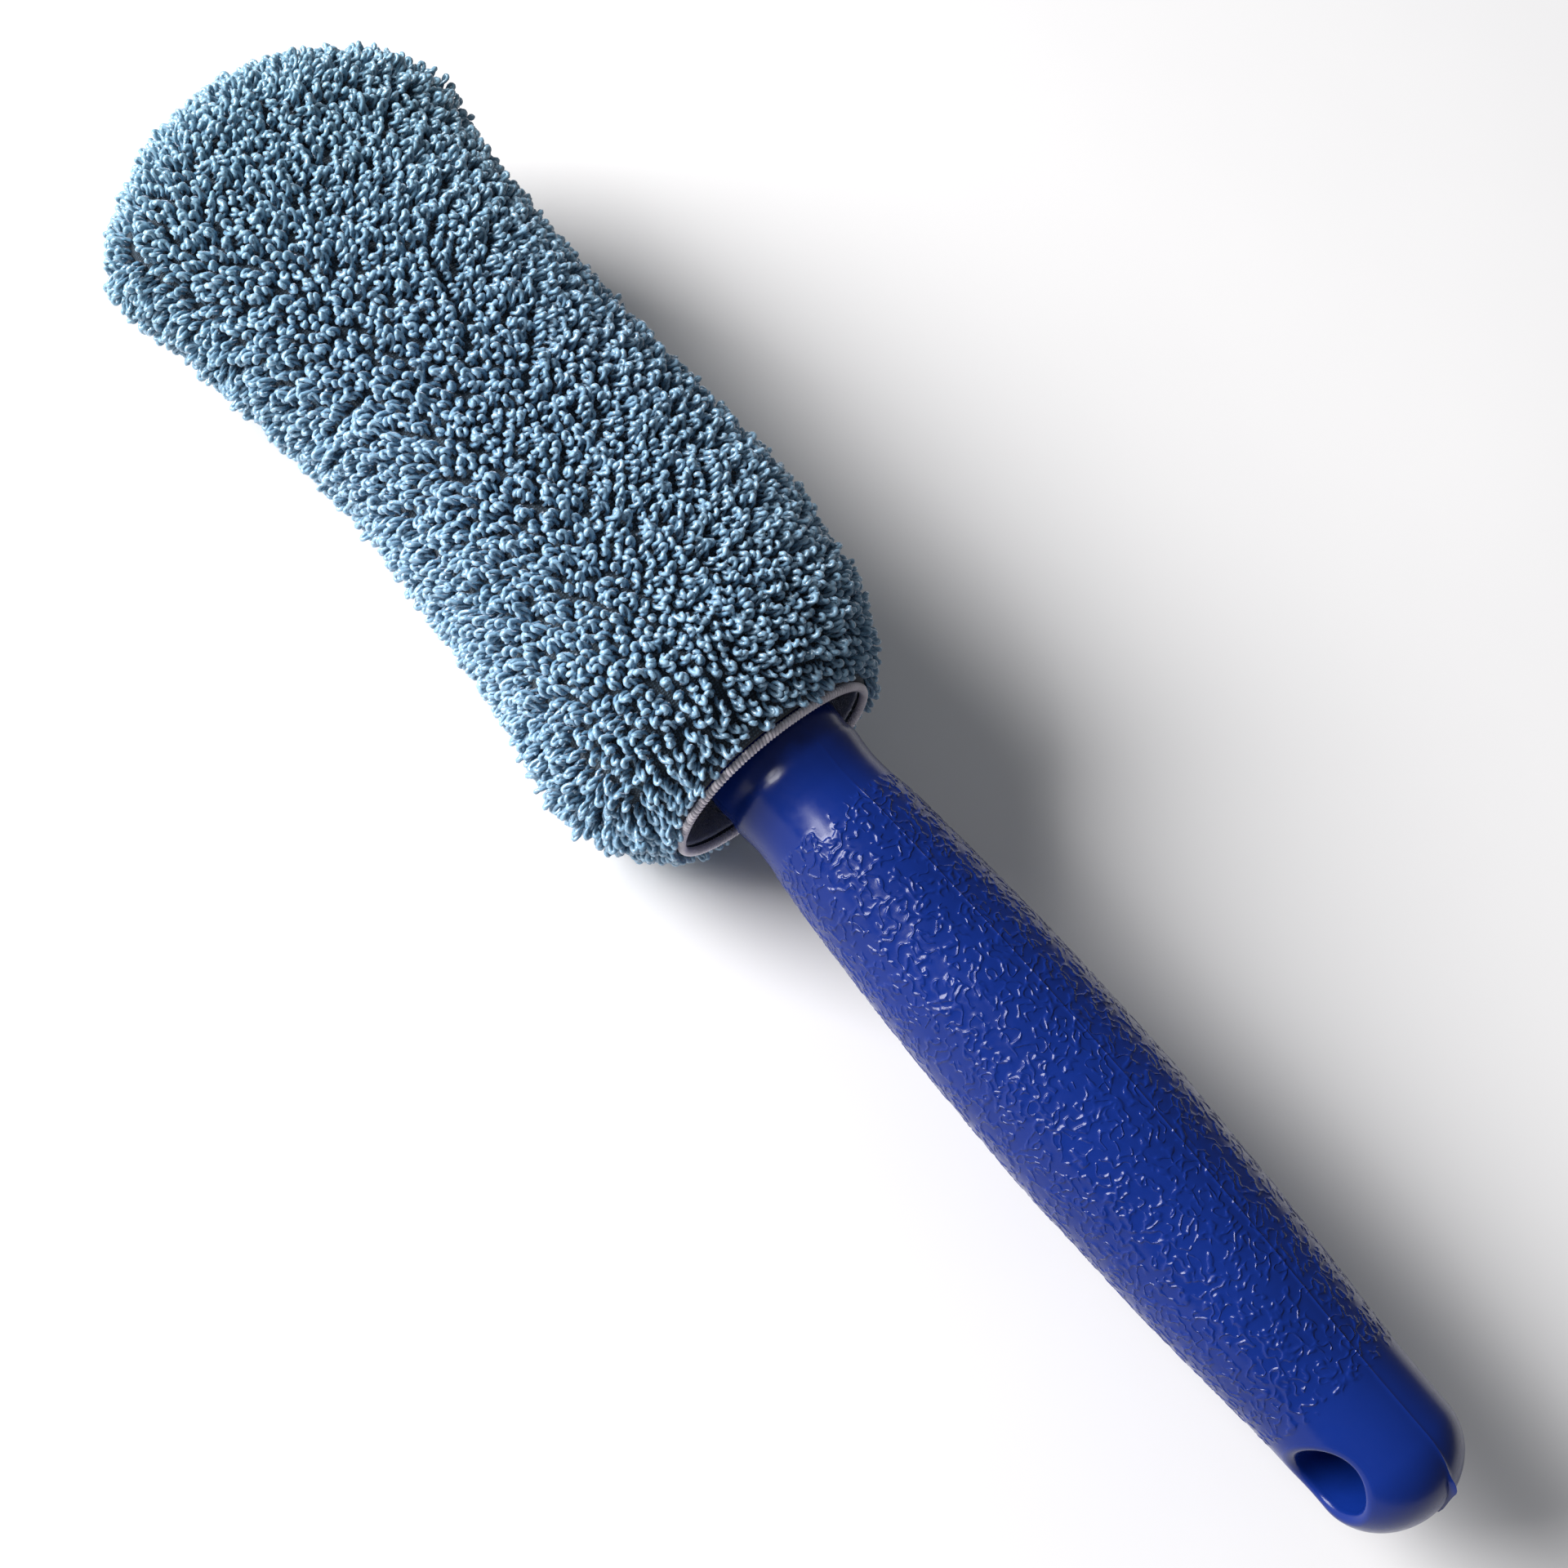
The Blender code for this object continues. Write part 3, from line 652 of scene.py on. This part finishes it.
def loop_roots(rng):
    """Roots of the loops in staggered rows round the backing, a little slanted: a, section angle, row number."""
    fine = np.concatenate([BACK_TIP + BACK_CAP * (1 - np.cos(pi / 2 * np.linspace(0, 1, 120))),
                           np.linspace(BACK_TIP + BACK_CAP, PILE_STOP, 600)[1:]])
    hy, hz = back_half(fine)
    run = np.sqrt(np.diff(fine) ** 2 + 0.5 * (np.diff(hy) ** 2 + np.diff(hz) ** 2))
    length = np.concatenate([[0], np.cumsum(run)])
    found = []
    rows = round(length[-1] / ROW_STEP)
    step = length[-1] / rows
    for r in range(-12, rows + 13):
        l = (r + 0.5) * step
        a = np.interp(l, length, fine)
        t = np.linspace(0, 2 * pi, 721)
        ring = head_point(np.full(721, a), t)
        d = np.concatenate([[0], np.cumsum(np.linalg.norm(np.diff(ring, axis=0), axis=1))])
        n = max(3, round(d[-1] / LOOP_STEP))
        at = ((np.arange(n) + 0.5 * (r % 2) + rng.normal(0, 0.085, n)) / n * d[-1]) % d[-1]
        tt = np.interp(at, d, t)
        # rows slant alike on the two panels, each about its own middle
        middle = np.where(tt < pi, np.interp(pi / 2, t, d), np.interp(3 * pi / 2, t, d))
        ll = l - ROW_SLANT * (at - middle) * min(1.0, d[-1] / 150) + rng.normal(0, 0.16, n)
        ok = (ll > 0.0) & (ll < length[-1])
        found.append(np.stack([np.interp(ll[ok], length, fine), tt[ok], np.full(ok.sum(), r)], -1))
    return np.concatenate(found)


def surface_frames(a, t):
    """Point, outward normal, direction towards the mouth and direction round the section."""
    p = head_point(a, t)
    e = 0.05
    back = np.where(a - e > BACK_TIP, e, 0)
    pa = head_point(np.minimum(a + e, BACK_END), t) - head_point(a - back, t)
    pt = head_point(a, t + 0.004) - head_point(a, t - 0.004)
    # close to the tip the section shrinks to a point, so its round direction comes from the angle itself
    pa /= np.maximum(np.linalg.norm(pa, axis=1, keepdims=True), 1e-9)
    pt /= np.maximum(np.linalg.norm(pt, axis=1, keepdims=True), 1e-9)
    nrm = np.cross(pt, pa)
    nrm /= np.maximum(np.linalg.norm(nrm, axis=1, keepdims=True), 1e-9)
    out = p - np.stack([np.clip(p[:, 0], -150, 0), sway(a)[0] + 0 * a, sway(a)[1] + AXIS_Z + 0 * a], -1)
    flip = np.sign(np.sum(nrm * out, axis=1))
    flip[flip == 0] = 1
    return p, nrm * flip[:, None], pa, pt


def loop_mesh(name, root, way, bend, length, thick, spin, hand, tone):
    """Loops of yarn: two legs twisted round each other, joined over the top, each loop one closed tube."""
    n = len(root)
    up = np.array(LEG + (LEG[-1],) * len(TURN) + LEG[::-1])
    beta = np.array((0.0,) * len(LEG) + TURN + (pi,) * len(LEG))
    rings = len(up)
    s = up[None] * length[:, None]
    centre = root[:, None] + way[:, None] * s[..., None] + bend[:, None] * (s**2 / length[:, None])[..., None]
    tangent = way[:, None] + 2 * bend[:, None] * up[None, :, None]
    tangent /= np.linalg.norm(tangent, axis=2, keepdims=True)
    ref = np.where(np.abs(way[:, :1]) < 0.8, np.array([[1.0, 0, 0]]), np.array([[0, 1.0, 0]]))[:, None]
    side = np.cross(tangent, np.broadcast_to(ref, tangent.shape))
    side /= np.linalg.norm(side, axis=2, keepdims=True)
    other = np.cross(tangent, side)
    turn = (spin[:, None] + hand[:, None] * s * (2 * pi / 5.4))[..., None]
    across = np.cos(turn) * side + np.sin(turn) * other
    binormal = np.cross(tangent, across)
    apart = thick * 1.02
    cb, sb = np.cos(beta)[None, :, None], np.sin(beta)[None, :, None]
    radial = cb * across + sb * tangent
    path = centre + apart[:, None, None] * (cb * across + 1.15 * sb * tangent)
    k = np.arange(TUBE_SIDES) * 2 * pi / TUBE_SIDES
    r = (thick[:, None] * (0.86 + 0.14 * np.clip(up / 0.5, 0, 1))[None])[..., None, None]
    pts = path[:, :, None] + r * (np.cos(k)[:, None] * radial[:, :, None] + np.sin(k)[:, None] * binormal[:, :, None])
    pts[..., 2] = np.maximum(pts[..., 2], 0.25)
    per = rings * TUBE_SIDES
    quads = grid_quads(rings, TUBE_SIDES)
    end = per - TUBE_SIDES
    fan = np.array([(0, i + 1, i) for i in range(1, TUBE_SIDES - 1)])
    tris = np.concatenate([fan, end + fan[:, ::-1]])
    step = np.arange(n)[:, None, None] * per
    mesh = mesh_from(name, pts.reshape(-1, 3), (quads[None] + step).reshape(-1, 4), (tris[None] + step).reshape(-1, 3))
    height = np.broadcast_to(np.repeat(up + 0.07 * np.sin(beta), TUBE_SIDES), (n, per))
    # length along the yarn with the angle round it added, so that bands of it run askew like its plies
    run = np.concatenate([s[:, :len(LEG)], s[:, len(LEG):] * 0 + s[:, len(LEG) - 1:len(LEG)]], axis=1)
    run = run + apart[:, None] * beta[None] * 1.1
    back = np.arange(rings) >= len(LEG) + len(TURN)
    run = np.where(back[None], run + (s[:, len(LEG) - 1:len(LEG)] - s), run)
    round_it = np.tile(np.arange(TUBE_SIDES) / TUBE_SIDES, rings)
    yarn = np.stack([np.repeat(run, TUBE_SIDES, axis=1), np.cos(2 * pi * round_it) + 0 * height,
                     np.sin(2 * pi * round_it) + 0 * height], -1)
    # rise runs from 0 at a loop's roots to 1 over its top; the loop material darkens the yarn by it, as painted shade
    # low in the pile
    set_attribute(mesh, "rise", "FLOAT", height)
    set_attribute(mesh, "tone", "FLOAT", np.broadcast_to(tone[:, None], (n, per)))
    set_attribute(mesh, "yarn", "FLOAT_VECTOR", yarn)
    return mesh


def loop_material():
    n = Nodes("microfibre_loops")
    rise = n.attribute("rise").outputs["Fac"]
    tone = n.attribute("tone").outputs["Fac"]
    yarn = n.attribute("yarn").outputs["Vector"]
    where = n.new("ShaderNodeTexCoord").outputs["Object"]
    parts = n.new("ShaderNodeSeparateXYZ")
    n.link(where, parts.inputs[0])
    body = n.ramp(tone, [(0.0, (0.170, 0.315, 0.450)), (0.5, (0.225, 0.390, 0.540)), (1.0, (0.292, 0.470, 0.622))])
    teal = n.ramp(tone, [(0.0, (0.155, 0.315, 0.420)), (0.5, (0.212, 0.390, 0.505)), (1.0, (0.278, 0.470, 0.590))])
    drift = n.math("ADD", parts.outputs["X"], n.math("MULTIPLY", n.noise(where, 14.0, 2.0), 0.05))
    shade = n.mix(n.map(drift, -0.165, -0.075), teal, body)
    # painted shade: the yarn's colour is darkened towards the loops' roots, where shade falls between the loops, and
    # returns to full brightness near their tops
    painted_pile_shade = n.ramp(rise, [(0.0, (0.42, 0.55, 0.65)), (0.5, (0.62, 0.73, 0.80)), (0.88, (1.0, 1.0, 1.0))])
    n.link(n.mix(1.0, shade, painted_pile_shade, "MULTIPLY"), n.bsdf.inputs["Base Color"])
    # the yarn's own plies: bands that climb round it
    bits = n.new("ShaderNodeSeparateXYZ")
    n.link(yarn, bits.inputs[0])
    phase = n.math("MULTIPLY", bits.outputs["X"], 2 * pi / 1.15)
    swing = n.math("ARCTAN2", bits.outputs["Z"], bits.outputs["Y"])
    ply = n.math("SINE", n.math("ADD", n.math("ADD", phase, swing), n.math("MULTIPLY", tone, 21.0)))
    rough = n.noise(where, 2600.0, 2.0)
    relief = n.math("ADD", n.math("MULTIPLY", ply, 0.5), n.math("MULTIPLY", rough, 1.1))
    n.link(n.bump(relief, 0.55, 0.00013), n.bsdf.inputs["Normal"])
    n.link(n.map(rough, 0.3, 0.7, 0.20, 0.32), n.bsdf.inputs["Roughness"])
    n.set(Specular_IOR_Level=1.0, Sheen_Weight=0.55, Sheen_Roughness=0.35)
    n.bsdf.inputs["Sheen Tint"].default_value = (0.84, 0.87, 1.0, 1.0)
    return n.mat


def field(points, scale, seed):
    """A smooth vector field from the shader's noise, each component in about -1 to 1."""
    return np.stack([(noise_values(points + seed + 31.7 * k, scale, 1.0) - 0.5) * 4 for k in range(3)], -1)


def make_pile():
    rng = np.random.default_rng(7)
    roots = loop_roots(rng)
    a, t = roots[:, 0], roots[:, 1]
    p, nrm, to_mouth, around = surface_frames(a, t)
    above = (p[:, 2] - AXIS_Z) * cos(SEAM_TILT) + p[:, 1] * sin(SEAM_TILT)
    keep = np.abs(above) > 0.75
    a, t, p, nrm, to_mouth, around, above = (v[keep] for v in (a, t, p, nrm, to_mouth, around, above))
    n = len(a)
    # cowlicks: neighbouring loops lean alike
    lean = field(p, 0.055, 3.0) * 0.12 + field(p, 0.16, 9.0) * 0.15
    lean -= nrm * np.sum(lean * nrm, axis=1, keepdims=True)
    # at the mouth the loops stand up where they face up and hang over the edge at the sides
    droop = np.clip(0.75 - nrm[:, 2] * 1.0, -0.12, 0.7)
    mouth_pull = ease((a - 164) / 20) * droop + ease((a - 172) / 14) * 0.22
    near_seam = np.exp(-((np.abs(above) - 0.75) / 2.4) ** 2)
    way = nrm + lean + to_mouth * mouth_pull[:, None]
    way += rng.normal(0, 0.10, (n, 3))
    way += np.array([0, 0, -1.0]) * (0.08 * (1 - np.abs(nrm[:, 2])))[:, None]
    way /= np.linalg.norm(way, axis=1, keepdims=True)
    length = rng.normal(4.30, 0.20, n) * (1 - 0.07 * near_seam) * (1 - 0.26 * ease((a - 177) / 9.5))
    # the pile stands proud at the far corner of the tip and low on the near side by the mouth, and lies shorter at the
    # tip's middle and near corner
    for spot, reach, more in (((-160.0, 44.0, 34.0), 8.0, 0.60), ((-19.0, -38.0, 24.0), 8.0, 0.40),
                              ((-188.0, -6.0, 34.0), 13.0, -0.28), ((-172.0, -38.0, 34.0), 9.0, -0.28)):
        length *= 1 + more * np.exp(-np.sum((p - np.array(spot)) ** 2, axis=1) / (2 * reach**2))
    bend = rng.normal(0, 0.16, (n, 3)) + lean * 0.8
    bend += to_mouth * (0.14 * mouth_pull)[:, None]
    bend[:, 2] -= 0.05
    # loops under the head lie over where it rests
    room = p[:, 2]
    low = (way[:, 2] < 0) & (room + way[:, 2] * length < 1.2)
    for _ in range(3):
        down = np.clip((1.0 - room) / (length * np.minimum(way[:, 2], -1e-3)), 0.05, 1.0)
        flat = way.copy()
        flat[:, 2] *= np.where(low, down, 1.0)
        side_push = way[:, :2] + 0.35 * np.stack([np.sin(a * 0.7), np.sign(p[:, 1]) * 1.0], -1)
        flat[:, :2] = np.where(low[:, None], side_push, flat[:, :2])
        flat /= np.linalg.norm(flat, axis=1, keepdims=True)
        way = flat
        low = (way[:, 2] < 0) & (room + way[:, 2] * length < 0.9)
    bend[:, 2] = np.where(room < 12, np.maximum(bend[:, 2], 0), bend[:, 2])
    thick = rng.normal(0.51, 0.035, n)
    spin, hand = rng.uniform(0, 2 * pi, n), np.full(n, 1.0)
    tone = np.clip(0.5 + 0.16 * rng.normal(0, 1, n) + 0.30 * field(p, 0.03, 17.0)[:, 0], 0, 1)
    mat = loop_material()
    pieces = []
    for word, mask, node in (("upper", above > 0, "pile_upper"), ("lower", above < 0, "pile_lower")):
        index = np.flatnonzero(mask)
        index = index[np.argsort(a[index], kind="stable")]
        for k, part in enumerate(np.array_split(index, 5)):
            mesh = loop_mesh(f"loops_{word}_{k + 1}", p[part] - nrm[part] * 0.25, way[part], bend[part], length[part],
                             thick[part], spin[part], hand[part], tone[part])
            pieces.append(new_piece(f"loops_{word}_{k + 1}", mesh, mat, "sleeve", "blue_loops", node))
    print("loops", n, "triangles a piece", [sum(len(f.vertices) - 2 for f in o.data.polygons) for o in pieces[:1]])
    return pieces


pile = make_pile()


# ---- mouth: ribbed elastic band and overlock stitching -----------------------------------------
def mouth_ring(a, t, inset):
    return head_point(np.broadcast_to(np.asarray(a, float), np.shape(t)), t, inset)


def arc_angles(a, count, inset):
    """Section angles that share the section's length out evenly."""
    t = np.linspace(0, 2 * pi, 2001)
    d = np.concatenate([[0], np.cumsum(np.linalg.norm(np.diff(mouth_ring(a, t, inset), axis=0), axis=1))])
    return np.interp(np.arange(count) / count * d[-1], d, t), d[-1]


def make_band():
    ribs, per = 132, 5
    t, _ = arc_angles(186.0, ribs * per, BACKING + GAP)
    levels = np.linspace(BAND[0], BAND[1], 16)
    wave = 0.5 + 0.5 * np.cos(np.arange(ribs * per) * 2 * pi / per)
    rows = []
    for a in levels:
        rows.append(mouth_ring(a, t, BACKING + GAP))
    for a in levels[::-1]:
        course = 0.06 * np.cos((a - BAND[0]) * 2 * pi / 1.47)
        full = mouth_ring(a, t, BACKING + GAP + BAND_T - 0.05)
        less = mouth_ring(a, t, BACKING + GAP + BAND_T - 0.55)
        w = np.clip(wave + course, 0, 1)[:, None]
        rows.append(less + (full - less) * w)
    pts = np.concatenate(rows)
    n, cols = len(rows), ribs * per
    quads = grid_quads(n, cols)
    j = np.arange(cols)
    k = (j + 1) % cols
    quads = np.concatenate([quads, np.stack([(n - 1) * cols + j, (n - 1) * cols + k, k, j], -1)])
    mesh = mesh_from("elastic", pts, quads)
    bm = bmesh.new()
    bm.from_mesh(mesh)
    bmesh.ops.recalc_face_normals(bm, faces=bm.faces)
    bm.to_mesh(mesh)
    bm.free()
    x = pts[:, 0]
    set_attribute(mesh, "cloth", "FLOAT_VECTOR", np.stack([np.tile(np.arange(cols) / per * 1.1, n), x, 0 * x], -1))
    m = Nodes("ribbed_elastic")
    uv = m.attribute("cloth").outputs["Vector"]
    wave = m.new("ShaderNodeTexWave", wave_type="BANDS", bands_direction="Y")
    wave.inputs["Scale"].default_value = 0.9
    wave.inputs["Distortion"].default_value = 0.8
    m.link(uv, wave.inputs["Vector"])
    tone = m.noise(uv, 0.8, 3.0)
    m.link(m.mix(m.map(wave.outputs["Fac"], 0.2, 0.9), (0.78, 0.78, 0.83), m.ramp(tone, [(0.3, (0.88, 0.88, 0.92)), (0.7, (0.94, 0.94, 0.96))])),
           m.bsdf.inputs["Base Color"])
    m.link(m.bump(wave.outputs["Fac"], 0.5, 0.0003), m.bsdf.inputs["Normal"])
    m.link(m.map(tone, 0.3, 0.7, 0.75, 0.9), m.bsdf.inputs["Roughness"])
    m.set(Sheen_Weight=0.2)
    return new_piece("elastic_band", mesh, m.mat, "sleeve", "pale_elastic", "mouth_elastic_band")


def make_overlock():
    """Two threads whipped round the mouth's edge, turn beside turn."""
    turns, per, sides = 172, 10, 5
    count = turns * per
    t, total = arc_angles(BACK_END, count, BACKING + 0.1)
    centre = mouth_ring(BACK_END, t, BACKING + 0.1)
    inner = mouth_ring(BACK_END, t, BACKING + 0.4)
    out = centre - inner
    out /= np.linalg.norm(out, axis=1, keepdims=True)
    centre = centre + np.array([GAP + OVERLOCK_R, 0, 0])
    forward = np.roll(centre, -1, 0) - np.roll(centre, 1, 0)
    forward /= np.linalg.norm(forward, axis=1, keepdims=True)
    ahead = np.array([[1.0, 0, 0]])
    phase = np.arange(count) / per * 2 * pi
    radius = OVERLOCK_R - 0.22
    path = centre + radius * (np.cos(phase)[:, None] * out + np.sin(phase)[:, None] * ahead)
    tangent = np.roll(path, -1, 0) - np.roll(path, 1, 0)
    tangent /= np.linalg.norm(tangent, axis=1, keepdims=True)
    radial = np.cos(phase)[:, None] * out + np.sin(phase)[:, None] * ahead
    radial -= tangent * np.sum(radial * tangent, axis=1, keepdims=True)
    radial /= np.linalg.norm(radial, axis=1, keepdims=True)
    other = np.cross(tangent, radial)
    k = np.arange(sides) * 2 * pi / sides
    pts = path[:, None] + 0.36 * (np.cos(k)[None, :, None] * radial[:, None] * 0.8 + np.sin(k)[None, :, None] * other[:, None] * 1.15)
    pts = pts.reshape(-1, 3)
    quads = grid_quads(count, sides)
    j = np.arange(sides)
    quads = np.concatenate([quads, np.stack([(count - 1) * sides + j, (count - 1) * sides + (j + 1) % sides, (j + 1) % sides, j], -1)])
    core_t, _ = arc_angles(BACK_END, 240, BACKING + 0.1)
    core_c = mouth_ring(BACK_END, core_t, BACKING + 0.1) + np.array([GAP + OVERLOCK_R, 0, 0])
    core_o = mouth_ring(BACK_END, core_t, BACKING + 0.1) - mouth_ring(BACK_END, core_t, BACKING + 0.4)
    core_o /= np.linalg.norm(core_o, axis=1, keepdims=True)
    q = np.arange(8) * 2 * pi / 8
    core = core_c[:, None] + 0.55 * (np.cos(q)[None, :, None] * core_o[:, None] + np.sin(q)[None, :, None] * ahead[None])
    first = len(pts)
    cq = grid_quads(240, 8, first)
    j = np.arange(8)
    cq = np.concatenate([cq, np.stack([first + 239 * 8 + j, first + 239 * 8 + (j + 1) % 8, first + (j + 1) % 8, first + j], -1)])
    mesh = mesh_from("overlock", np.concatenate([pts, core.reshape(-1, 3)]), np.concatenate([quads, cq]))
    bm = bmesh.new()
    bm.from_mesh(mesh)
    bmesh.ops.recalc_face_normals(bm, faces=bm.faces)
    bm.to_mesh(mesh)
    bm.free()
    m = Nodes("overlock_thread")
    where = m.new("ShaderNodeTexCoord").outputs["Object"]
    m.link(m.ramp(m.noise(where, 260.0, 2.0), [(0.3, (0.76, 0.70, 0.75)), (0.7, (0.93, 0.88, 0.93))]), m.bsdf.inputs["Base Color"])
    m.link(m.bump(m.noise(where, 3500.0, 2.0), 0.3, 0.0001), m.bsdf.inputs["Normal"])
    m.set(Roughness=0.75, Sheen_Weight=0.2)
    return new_piece("overlock_edge", mesh, m.mat, "sleeve", "pale_thread", "mouth_overlock_thread")


make_band()
make_overlock()

# ---- foam pads inside the sleeve, and the seam's thread ---------------------------------------
def foam_material():
    m = Nodes("open_cell_foam")
    where = m.new("ShaderNodeTexCoord").outputs["Object"]
    cells = m.new("ShaderNodeTexVoronoi", feature="DISTANCE_TO_EDGE")
    cells.inputs["Scale"].default_value = 900.0
    m.link(where, cells.inputs["Vector"])
    wall = m.map(cells.outputs["Distance"], 0.02, 0.16)
    m.link(m.mix(wall, (0.36, 0.36, 0.35), (0.20, 0.20, 0.195)), m.bsdf.inputs["Base Color"])
    m.link(m.bump(wall, 0.6, 0.0003), m.bsdf.inputs["Normal"])
    m.link(m.map(m.noise(where, 120.0, 2.0), 0.3, 0.7, 0.88, 0.97), m.bsdf.inputs["Roughness"])
    m.set(Specular_IOR_Level=0.2)
    return m.mat


def make_pads():
    mat = foam_material()
    for word in ("upper", "lower"):
        solid = bpy.data.objects["foam_pad_" + word]
        mesh = solid.data.copy()
        mesh.transform(solid.matrix_world)
        mesh.name = "pad_" + word
        mesh.shade_smooth()
        mesh.set_sharp_from_angle(angle=radians(35))
        new_piece("pad_" + word, mesh, mat, "handle", "foam", "foam_pad_" + word)


def thread_material():
    m = Nodes("sewing_thread")
    where = m.new("ShaderNodeTexCoord").outputs["Object"]
    wave = m.new("ShaderNodeTexWave", wave_type="BANDS", bands_direction="DIAGONAL")
    wave.inputs["Scale"].default_value = 420.0
    wave.inputs["Distortion"].default_value = 0.6
    m.link(where, wave.inputs["Vector"])
    m.link(m.mix(wave.outputs["Fac"], (0.030, 0.070, 0.110), (0.060, 0.125, 0.185)), m.bsdf.inputs["Base Color"])
    m.link(m.bump(wave.outputs["Fac"], 0.5, 0.0002), m.bsdf.inputs["Normal"])
    m.link(m.map(m.noise(where, 300.0, 2.0), 0.3, 0.7, 0.6, 0.8), m.bsdf.inputs["Roughness"])
    return m.mat


make_pads()
for slot in bpy.data.objects["sleeve_seam_thread"].material_slots:
    slot.material = thread_material()
